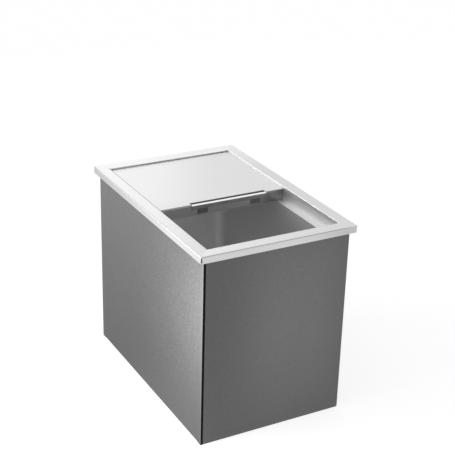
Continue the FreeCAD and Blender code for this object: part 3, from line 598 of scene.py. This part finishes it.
def dark_casing_steel(sheet):
    """Outer panels: dark coated sheet with a fine even tooth, a painted highlight on a patch of the
    end panels and along the corner folds, painted glints near the front of the side panels, a scuffed
    foot, and painted shade under the rim.
    """
    material, flow = start_finish("dark_casing_steel")
    place, (x, y, z) = at(flow)
    tone, half_width = sheet.casing_colour, abs(CASE_LOW.x)
    tooth = noise(flow, place, size=3.2 * MM, detail=2.0, roughness=0.6)
    side_tooth = brush_lines(flow, place, Y_AXIS, pitch=3.0 * MM, run=5.5 * MM)
    fleck = noise(flow, place, size=1.1 * MM, detail=3.0, roughness=0.65)
    cloud = noise(flow, place, size=120 * MM, detail=3.0)

    inside_fold = flow.maths("MAXIMUM", CASE_HIGH.y - abs(y), half_width - abs(x))
    # Mask of the painted highlight along the corner folds
    rub_and_highlight = band(flow, inside_fold, *CASE_FOLD)
    scuffed = band(flow, z, *CASE_SCUFFED_Z) * tooth
    under_rim = band(flow, z, *CASE_SHADED_Z)
    on_end = band(flow, abs(y), *CASE_END_Y)
    across = abs(x - HIGHLIGHT_X * half_width) / half_width
    upward = abs(z - HIGHLIGHT_Z * RIM_LOW.z) / RIM_LOW.z
    # Mask of the painted highlight patch on the end panels
    highlight_patch = on_end * band(flow, across, *HIGHLIGHT_ACROSS) * band(flow, upward, *HIGHLIGHT_UP)
    # Mask of painted glints near the front of the side panels
    glint_zone = band(flow, y, *CASE_NEAR_Y) * band(flow, z, *CASE_NEAR_Z)

    end_grain = 0.235 + 0.10 * fleck + 0.40 * tooth + 0.15 * cloud
    # Stronger speckle near the front of the side panels, as painted glints
    side_grain = 0.5 + (side_tooth - 0.5) * (0.42 + 0.50 * glint_zone) + 0.15 * (cloud - 0.5)
    grain = between(flow, on_end, side_grain, end_grain)
    plain = grained(flow, grain, tone, CASE_PLAIN)
    # Painted highlight patch on the end panels
    body = mixed(flow, 0.4 * highlight_patch, plain, grained(flow, grain, tone, CASE_HIGHLIGHT))
    # Painted highlight along the corner folds
    edged = mixed(flow, 0.55 * rub_and_highlight, body, level(tone, CASE_FOLD_HIGHLIGHT))
    footed = mixed(flow, 0.35 * scuffed, edged, level(tone, CASE_SCUFFED))
    # Painted shade under the rim
    base = mixed(flow, 0.80 * under_rim, footed, level(tone, CASE_SHADED))
    dull = sheet.casing_roughness + 0.10 * (fleck - 0.5) + 0.06 * (cloud - 0.5) - 0.08 * rub_and_highlight
    relief = 0.7 * tooth + 0.3 * fleck
    return end_finish(material, flow, {
        "Base Color": base, "Metallic": 1.0, "Roughness": dull,
        "Normal": raised(flow, relief, depth=0.30 * MM)})


def drawn_tub_steel(sheet):
    """Tub: soft upright draw marks on the walls, turned rings round the drain."""
    material, flow = start_finish("drawn_tub_steel")
    place, (x, y, z) = at(flow)
    pitch, run, tone = sheet.hairline_pitch, sheet.hairline_run, sheet.tub_colour
    radius = flow.maths("SQRT", x * x + y * y)
    ring_place = flow.node("ShaderNodeCombineXYZ", {}, {"X": radius})
    rings = noise(flow, ring_place, size=0.9 * MM, detail=2.0)
    walls = brush_lines(flow, place, Z_AXIS, 1.5 * pitch, run)
    floor_lines = brush_lines(flow, place, Y_AXIS, 1.5 * pitch, run)
    lies_flat = band(flow, facing(flow)[Z_AXIS], *LIES_FLAT)
    by_drain = band(flow, radius, *TUB_DRAIN)
    flat = between(flow, by_drain, floor_lines, rings)
    grain = between(flow, lies_flat, walls, flat)
    smudge = noise(flow, place, size=55 * MM, detail=4.0, roughness=0.6)
    spots = band(flow, noise(flow, place, size=18 * MM, detail=3.0), start=0.56, end=0.70)
    water_line = spots * band(flow, z, *TUB_WATER_Z)
    drawn = grained(flow, grain, tone, TUB_DRAWN)
    base = mixed(flow, 0.08 * water_line, drawn, level(tone, TUB_SCALE))
    dull = sheet.tub_roughness + 0.10 * (grain - 0.5) + 0.08 * (smudge - 0.5) + 0.10 * water_line
    return end_finish(material, flow, {
        "Base Color": base, "Metallic": 1.0, "Roughness": dull,
        "Normal": raised(flow, grain, depth=0.012 * MM, strength=0.5)})


def spangled_zinc(name, tone, fitting):
    """Hidden frame: zinc crystals, each of its own grey."""
    material, flow = start_finish(name)
    place, _ = at(flow)
    wander = flow.node("ShaderNodeVectorMath", {"operation": "MULTIPLY_ADD"}, {
        0: flow.node("ShaderNodeTexNoise", {}, {"Vector": place, "Scale": 1.0 / (6 * MM)}, "Color"),
        1: (2.5 * MM,) * 3, 2: place})
    crystals = flow.node("ShaderNodeTexVoronoi", {"feature": "F1"},
                         {"Vector": wander, "Scale": 1.0 / fitting.spangle_size}, "Color")
    grey = flow.node("ShaderNodeSeparateColor", {}, {"Color": crystals}, 0)
    dust = noise(flow, place, size=1.0 * MM, detail=3.0)
    bloom = band(flow, noise(flow, place, size=40 * MM, detail=4.0), start=0.52, end=0.72)
    crystal = grained(flow, 0.75 * grey + 0.25 * dust, tone, ZINC_CRYSTALS)
    base = mixed(flow, 0.30 * bloom, crystal, level(tone, ZINC_BLOOM))
    return end_finish(material, flow, {
        "Base Color": base, "Metallic": 1.0 - 0.35 * bloom,
        "Roughness": 0.34 + 0.18 * grey + 0.15 * bloom,
        "Normal": raised(flow, dust, depth=0.02 * MM, strength=0.4)})


def turned_metal(name, tone, fitting, roughness, tarnish):
    """Drain fittings: rings round the drain's axis, with stains in the low places."""
    material, flow = start_finish(name)
    place, (x, y, z) = at(flow)
    radius = flow.maths("SQRT", x * x + y * y)
    ring_place = flow.node("ShaderNodeCombineXYZ", {}, {"X": radius, "Y": z})
    rings = noise(flow, ring_place, size=fitting.ring_pitch, detail=2.0)
    blotches = noise(flow, place, size=9 * MM, detail=4.0, roughness=0.6)
    stain_and_shade = band(flow, blotches, start=0.48, end=0.72)
    ringed = grained(flow, rings, tone, TURNED_RINGS)
    base = mixed(flow, tarnish * stain_and_shade, ringed, level(tone, TURNED_STAIN))
    return end_finish(material, flow, {
        "Base Color": base, "Metallic": 1.0,
        "Roughness": roughness + 0.12 * (rings - 0.5) + 0.16 * stain_and_shade,
        "Normal": raised(flow, rings, depth=0.015 * MM, strength=0.5)})


def pressed_fibre(fitting):
    """Washer: short fibres squashed flat."""
    material, flow = start_finish("pressed_fibre")
    place, _ = at(flow)
    turned = flow.node("ShaderNodeMapping", {}, {"Vector": place, "Rotation": FIBRE_TURN,
                                                 "Scale": FIBRES_PER_METRE})
    fibres = flow.node("ShaderNodeTexNoise", {}, {"Vector": turned, "Scale": 1.0, "Detail": 3.0})
    pressing_and_shade = noise(flow, place, size=2.5 * MM, detail=3.0)
    base = grained(flow, 0.6 * fibres + 0.4 * pressing_and_shade, fitting.fibre_colour, FIBRE_PRESSED)
    return end_finish(material, flow, {
        "Base Color": base, "Metallic": 0.0, "Roughness": 0.78 + 0.14 * (pressing_and_shade - 0.5),
        "Normal": raised(flow, fibres, depth=0.06 * MM, strength=0.6)})


def seal_rubber(fitting):
    """Plug and gasket: moulded rubber with a fine skin and a pale bloom."""
    material, flow = start_finish("seal_rubber")
    place, (x, *_) = at(flow)
    skin = noise(flow, place, size=0.5 * MM, detail=3.0)
    blotches = noise(flow, place, size=12 * MM, detail=4.0, roughness=0.6)
    bloom = band(flow, blotches, start=0.50, end=0.75)
    mould_line = band(flow, abs(x), *MOULD_LINE)
    base = grained(flow, 0.55 * bloom + 0.15 * skin, fitting.rubber_colour, RUBBER_BLOOM)
    return end_finish(material, flow, {
        "Base Color": base, "Metallic": 0.0, "Roughness": 0.50 + 0.22 * bloom,
        "Specular IOR Level": 0.4,
        "Normal": raised(flow, skin + 1.5 * mould_line, depth=0.05 * MM, strength=0.5)})


def insulation_board(fitting):
    """Boards: closed foam cells, cut faces with saw lines."""
    material, flow = start_finish("insulation_board")
    place, _ = at(flow)
    cells = flow.node("ShaderNodeTexVoronoi", {"feature": "F1"},
                      {"Vector": place, "Scale": 1.0 / fitting.cell_size}, "Distance")
    saw = brush_lines(flow, place, X_AXIS, pitch=2.0 * MM, run=60 * MM)
    age = noise(flow, place, size=70 * MM, detail=3.0)
    mottle = 0.45 * cells + 0.25 * saw + 0.30 * age
    base = grained(flow, mottle, fitting.board_colour, BOARD_CELLS)
    return end_finish(material, flow, {
        "Base Color": base, "Metallic": 0.0, "Roughness": 0.86 + 0.10 * (cells - 0.5),
        "Normal": raised(flow, cells, depth=0.35 * MM, strength=0.7)})


def glide_plastic(fitting):
    """Glides: moulded plastic with running marks along the slide."""
    material, flow = start_finish("glide_plastic")
    place, _ = at(flow)
    skin = noise(flow, place, size=0.7 * MM, detail=3.0)
    running = brush_lines(flow, place, Y_AXIS, pitch=0.5 * MM, run=120 * MM)
    marks = band(flow, running, start=0.52, end=0.70)
    base = grained(flow, 0.5 * marks + 0.3 * skin, fitting.glide_colour, GLIDE_MARKS)
    return end_finish(material, flow, {
        "Base Color": base, "Metallic": 0.0, "Roughness": 0.38 + 0.16 * (skin - 0.5) + 0.10 * marks,
        "Normal": raised(flow, skin, depth=0.03 * MM, strength=0.5)})


# Pieces

def finished_piece(name, mesh_work, material, body):
    """Turns a bmesh into a piece that rides on a body and takes a slot's finish."""
    bmesh.ops.recalc_face_normals(mesh_work, faces=mesh_work.faces)
    mesh = bpy.data.meshes.new(name)
    mesh_work.to_mesh(mesh)
    mesh_work.free()
    mesh.materials.append(material)
    piece = bpy.data.objects.new(name, mesh)
    bpy.context.scene.collection.objects.link(piece)
    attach(piece, body)


def thread_ridge(radius, foot, top, pitch, crest, steps):
    """One ridge of a screw thread, wound up round the drain's axis."""
    work = bmesh.new()
    sunk, out = radius - RIDGE_SUNK, radius + crest
    half, flat = RIDGE_HALF * pitch, CREST_HALF * pitch
    outline = [(sunk, -half), (out, -flat), (out, flat), (sunk, half)]
    face = work.faces.new([work.verts.new((reach, 0.0, foot + half + up)) for reach, up in outline])
    turns = (top - foot - 2 * half) / pitch
    count = int(turns * steps)
    bmesh.ops.spin(work, geom=[face, *face.edges, *face.verts], cent=(0.0, 0.0, 0.0),
                   axis=(0.0, 0.0, 1.0), dvec=(0.0, 0.0, pitch / steps),
                   angle=2 * math.pi * count / steps, steps=count,
                   use_merge=False, use_duplicate=False)
    return work


def toe_block(low, high, rounding):
    """A low block with its outer lower edge rounded, for the left front corner."""
    low, high = Vector(low), Vector(high)
    middle = (low + high) / 2
    work = bmesh.new()
    bmesh.ops.create_cube(work, size=1.0)
    bmesh.ops.scale(work, vec=high - low, verts=work.verts)
    bmesh.ops.translate(work, vec=middle, verts=work.verts)
    outer = [edge for edge in work.edges
             if all(vert.co.x < middle.x and vert.co.z < middle.z for vert in edge.verts)]
    bmesh.ops.bevel(work, geom=outer, offset=rounding, offset_type="OFFSET", affect="EDGES",
                    segments=TOE_BEVEL_STEPS, profile=0.5, material=-1)
    return work


def mirrored_to_rear(work):
    """Turns a front corner's block into the rear corner's."""
    bmesh.ops.scale(work, vec=(1.0, -1.0, 1.0), verts=work.verts)
    return work


# Stage

def seen_directly(flow):
    """One for rays from the camera and from shiny or clear surfaces, nought for the rest."""
    camera = flow.node("ShaderNodeLightPath", {}, {}, "Is Camera Ray")
    shiny = flow.node("ShaderNodeLightPath", {}, {}, "Is Glossy Ray")
    clear = flow.node("ShaderNodeLightPath", {}, {}, "Is Transmission Ray")
    return flow.maths("MAXIMUM", flow.maths("MAXIMUM", camera, shiny), clear)


def lay_floor(studio):
    """A pale floor that reads as white, keeps the shadow and is clear from below."""
    work = bmesh.new()
    bmesh.ops.create_grid(work, x_segments=1, y_segments=1, size=studio.floor_size / 2)
    bmesh.ops.translate(work, vec=(0.0, 0.0, -FLOOR_GAP), verts=work.verts)
    mesh = bpy.data.meshes.new("studio_floor")
    work.to_mesh(mesh)
    work.free()
    material, flow = start_finish("pale_floor")
    matt = flow.node("ShaderNodeBsdfDiffuse", {}, {"Color": level(studio.floor_colour, 1.0)})
    lift = flow.node("ShaderNodeEmission", {}, {"Strength": studio.floor_lift * seen_directly(flow)})
    both = flow.node("ShaderNodeAddShader", {}, {0: matt, 1: lift})
    from_below = flow.node("ShaderNodeNewGeometry", {}, {}, "Backfacing")
    clear = flow.node("ShaderNodeBsdfTransparent")
    one_sided = flow.node("ShaderNodeMixShader", {}, {0: from_below, 1: both, 2: clear})
    flow.node("ShaderNodeOutputMaterial", {}, {"Surface": one_sided})
    material.cycles.emission_sampling = "NONE"
    mesh.materials.append(material)
    floor = bpy.data.objects.new("studio_floor", mesh)
    bpy.context.scene.collection.objects.link(floor)


def light_room(scene, studio):
    """A white room: full white to the eye and in reflections, softer on plain surfaces."""
    world = bpy.data.worlds.new("white_room")
    world.use_nodes = True
    world.node_tree.nodes.clear()
    flow = Flow(world.node_tree)
    strength = studio.sky_level + (1.0 - studio.sky_level) * seen_directly(flow)
    sky = flow.node("ShaderNodeBackground", {}, {"Color": WHITE, "Strength": strength})
    flow.node("ShaderNodeOutputWorld", {}, {"Surface": sky})
    world.cycles.sampling_method = "NONE"
    scene.world = world


def hang_lamp(name, place, aim, width, watts):
    """A square soft lamp that points at its aim and isn't seen itself."""
    data = bpy.data.lights.new(name, "AREA")
    data.shape = "SQUARE"
    data.size = width
    data.energy = watts
    lamp = bpy.data.objects.new(name, data)
    lamp.location = place
    lamp.rotation_euler = (Vector(aim) - Vector(place)).to_track_quat("-Z", "Y").to_euler()
    lamp.visible_camera = False
    bpy.context.scene.collection.objects.link(lamp)


def set_camera(scene, studio):
    """A camera on the photograph's line of sight."""
    back = Vector((math.sin(studio.turn) * math.cos(studio.rise),
                   -math.cos(studio.turn) * math.cos(studio.rise), math.sin(studio.rise)))
    place = Vector(studio.target) + back * studio.distance
    level_right = (-back).cross(Vector((0.0, 0.0, 1.0))).normalized()
    level_down = (-back).cross(level_right)
    right = level_right * math.cos(studio.roll) - level_down * math.sin(studio.roll)
    down = level_right * math.sin(studio.roll) + level_down * math.cos(studio.roll)
    data = bpy.data.cameras.new("studio_camera")
    data.lens = studio.lens
    data.clip_end = CAMERA_REACH
    camera = bpy.data.objects.new("studio_camera", data)
    turn = Matrix((right, -down, back)).transposed().to_4x4()
    camera.matrix_world = Matrix.Translation(place) @ turn
    scene.collection.objects.link(camera)
    scene.camera = camera


# Operators

class ICEBIN_OT_finish_rim(Operator):
    """Brushes the folded rim"""

    bl_idname = "ice_bin.finish_rim"
    bl_label = "Finish rim"

    def execute(self, context):
        paint(brushed_rim_steel(context.scene.bin_sheet), "top_rim")
        return {"FINISHED"}


class ICEBIN_OT_finish_covers(Operator):
    """Gives the covers and the pull bar their satin grain"""

    bl_idname = "ice_bin.finish_covers"
    bl_label = "Finish covers"

    def execute(self, context):
        sheet = context.scene.bin_sheet
        paint(satin_cover_steel(sheet), "sliding_cover", "rear_cover")
        paint(worn_bar_steel(sheet), "cover_handle")
        return {"FINISHED"}


class ICEBIN_OT_finish_casing(Operator):
    """Gives the outer panels their dark sheet"""

    bl_idname = "ice_bin.finish_casing"
    bl_label = "Finish casing"

    def execute(self, context):
        paint(dark_casing_steel(context.scene.bin_sheet),
              "left_panel", "right_panel", "front_panel", "rear_panel")
        return {"FINISHED"}


class ICEBIN_OT_finish_tub(Operator):
    """Gives the tub its drawn steel"""

    bl_idname = "ice_bin.finish_tub"
    bl_label = "Finish tub"

    def execute(self, context):
        paint(drawn_tub_steel(context.scene.bin_sheet), "inner_tub")
        return {"FINISHED"}


class ICEBIN_OT_finish_frame(Operator):
    """Gives the base pan bright zinc, and the joiners behind the seams a near-black zinc as painted
    shade in the seams
    """

    bl_idname = "ice_bin.finish_frame"
    bl_label = "Finish hidden frame"

    def execute(self, context):
        scene = context.scene
        sheet, fitting = scene.bin_sheet, scene.bin_fitting
        paint(spangled_zinc("spangled_zinc", sheet.zinc_colour, fitting), "base_pan")
        # The joiners take a near-black zinc, as painted shade in the open seams
        paint(spangled_zinc("dulled_zinc", sheet.seam_shade_colour, fitting),
              "front_left_joiner", "front_right_joiner", "rear_left_joiner", "rear_right_joiner")
        return {"FINISHED"}


class ICEBIN_OT_finish_boards(Operator):
    """Gives the insulation boards their foam"""

    bl_idname = "ice_bin.finish_boards"
    bl_label = "Finish boards"

    def execute(self, context):
        paint(insulation_board(context.scene.bin_fitting),
              "foam_base", "foam_left", "foam_right", "foam_front", "foam_rear")
        return {"FINISHED"}


class ICEBIN_OT_finish_drain(Operator):
    """Finishes the drain's metal, fibre and rubber"""

    bl_idname = "ice_bin.finish_drain"
    bl_label = "Finish drain"

    def execute(self, context):
        fitting = context.scene.bin_fitting
        steel = turned_metal("turned_drain_steel", fitting.drain_colour, fitting,
                             roughness=0.26, tarnish=0.15)
        brass = turned_metal("turned_brass", fitting.brass_colour, fitting,
                             roughness=0.30, tarnish=0.45)
        paint(steel, "drain_spud", "drain_strainer")
        paint(brass, "drain_locknut")
        paint(pressed_fibre(fitting), "drain_washer")
        paint(seal_rubber(fitting), "drain_gasket", "drain_plug")
        return {"FINISHED"}


class ICEBIN_OT_finish_glides(Operator):
    """Gives the cover's glides their moulded plastic"""

    bl_idname = "ice_bin.finish_glides"
    bl_label = "Finish glides"

    def execute(self, context):
        paint(glide_plastic(context.scene.bin_fitting), "left_cover_glide", "right_cover_glide")
        return {"FINISHED"}


class ICEBIN_OT_cut_threads(Operator):
    """Winds the threads on the drain's tail and body"""

    bl_idname = "ice_bin.cut_threads"
    bl_label = "Cut threads"

    def execute(self, context):
        thread = context.scene.bin_thread
        steel = bpy.data.materials["turned_drain_steel"]
        below, above = TAIL_PLAIN
        tail = thread_ridge(thread.tail_radius, SPUD_LOW.z + below, thread.tail_top - above,
                            thread.tail_pitch, thread.crest_height, thread.steps_per_turn)
        finished_piece("tail_thread", tail, steel, "bin")
        below, above = BODY_PLAIN
        body = thread_ridge(thread.body_radius, thread.tail_top + below, NUT_LOW.z - above,
                            thread.body_pitch, thread.crest_height, thread.steps_per_turn)
        finished_piece("body_thread", body, steel, "bin")
        return {"FINISHED"}


class ICEBIN_OT_close_seams(Operator):
    """Closes the feet of the left corner seams with small toes"""

    bl_idname = "ice_bin.close_seams"
    bl_label = "Close seams"

    def execute(self, context):
        toe = context.scene.bin_toe
        casing, zinc = bpy.data.materials["dark_casing_steel"], bpy.data.materials["dulled_zinc"]
        left, front = CASE_LOW.x, CASE_LOW.y
        inner = left + toe.outer_width
        outer_low = (left, front, toe.foot_gap)
        outer_high = (inner, front + toe.outer_run, toe.height)
        seam_low = (inner, front + toe.seam_inset, toe.foot_gap)
        seam_high = (inner + toe.seam_width, front + toe.seam_run, toe.height)
        for end in ("front", "rear"):
            outer = toe_block(outer_low, outer_high, toe.outer_round)
            seam = toe_block(seam_low, seam_high, toe.seam_round)
            if end == "rear":
                outer, seam = mirrored_to_rear(outer), mirrored_to_rear(seam)
            finished_piece(f"{end}_panel_toe", outer, casing, "bin")
            # The toe in the seam takes the near-black seam finish, as painted shade at the seam's foot
            finished_piece(f"{end}_seam_toe", seam, zinc, "bin")
        return {"FINISHED"}


class ICEBIN_OT_set_stage(Operator):
    """Sets the floor, the white room, the lamps and the camera"""

    bl_idname = "ice_bin.set_stage"
    bl_label = "Set stage"

    def execute(self, context):
        studio = context.scene.bin_studio
        context.scene.view_settings.view_transform = "Standard"
        lay_floor(studio)
        light_room(context.scene, studio)
        for name, place, aim, width, setting in LAMPS:
            hang_lamp(name, place, aim, width, getattr(studio, setting))
        set_camera(context.scene, studio)
        return {"FINISHED"}


# Panel

class ICEBIN_PT_sidebar(Panel):
    """Lists the bin's steps and settings"""

    bl_idname = "ICEBIN_PT_sidebar"
    bl_label = "Ice bin"
    bl_space_type = "VIEW_3D"
    bl_region_type = "UI"
    bl_category = "Ice bin"

    def draw(self, context):
        for operator in OPERATORS:
            self.layout.operator(operator.bl_idname)
        for name, group in GROUPS.items():
            box = self.layout.box()
            settings = getattr(context.scene, name)
            for field in group.__annotations__:
                box.prop(settings, field)


OPERATORS = (
    ICEBIN_OT_finish_rim,
    ICEBIN_OT_finish_covers,
    ICEBIN_OT_finish_casing,
    ICEBIN_OT_finish_tub,
    ICEBIN_OT_finish_frame,
    ICEBIN_OT_finish_boards,
    ICEBIN_OT_finish_drain,
    ICEBIN_OT_finish_glides,
    ICEBIN_OT_cut_threads,
    ICEBIN_OT_close_seams,
    ICEBIN_OT_set_stage,
)
GROUPS = {
    "bin_sheet": SheetFinish,
    "bin_fitting": FittingFinish,
    "bin_thread": DrainThread,
    "bin_toe": SeamToe,
    "bin_studio": Studio,
}


def register():
    """Adds the bin's settings, steps and panel."""
    for cls in (*GROUPS.values(), *OPERATORS, ICEBIN_PT_sidebar):
        bpy.utils.register_class(cls)
    for name, group in GROUPS.items():
        setattr(bpy.types.Scene, name, PointerProperty(type=group))


def unregister():
    """Takes them away again."""
    for name in GROUPS:
        delattr(bpy.types.Scene, name)
    for cls in (ICEBIN_PT_sidebar, *reversed(OPERATORS), *reversed(GROUPS.values())):
        bpy.utils.unregister_class(cls)


def main():
    """Runs every step."""
    register()
    for operator in OPERATORS:
        group, name = operator.bl_idname.split(".")
        getattr(getattr(bpy.ops, group), name)()
    bpy.context.view_layer.update()


if __name__ == "__main__":
    main()
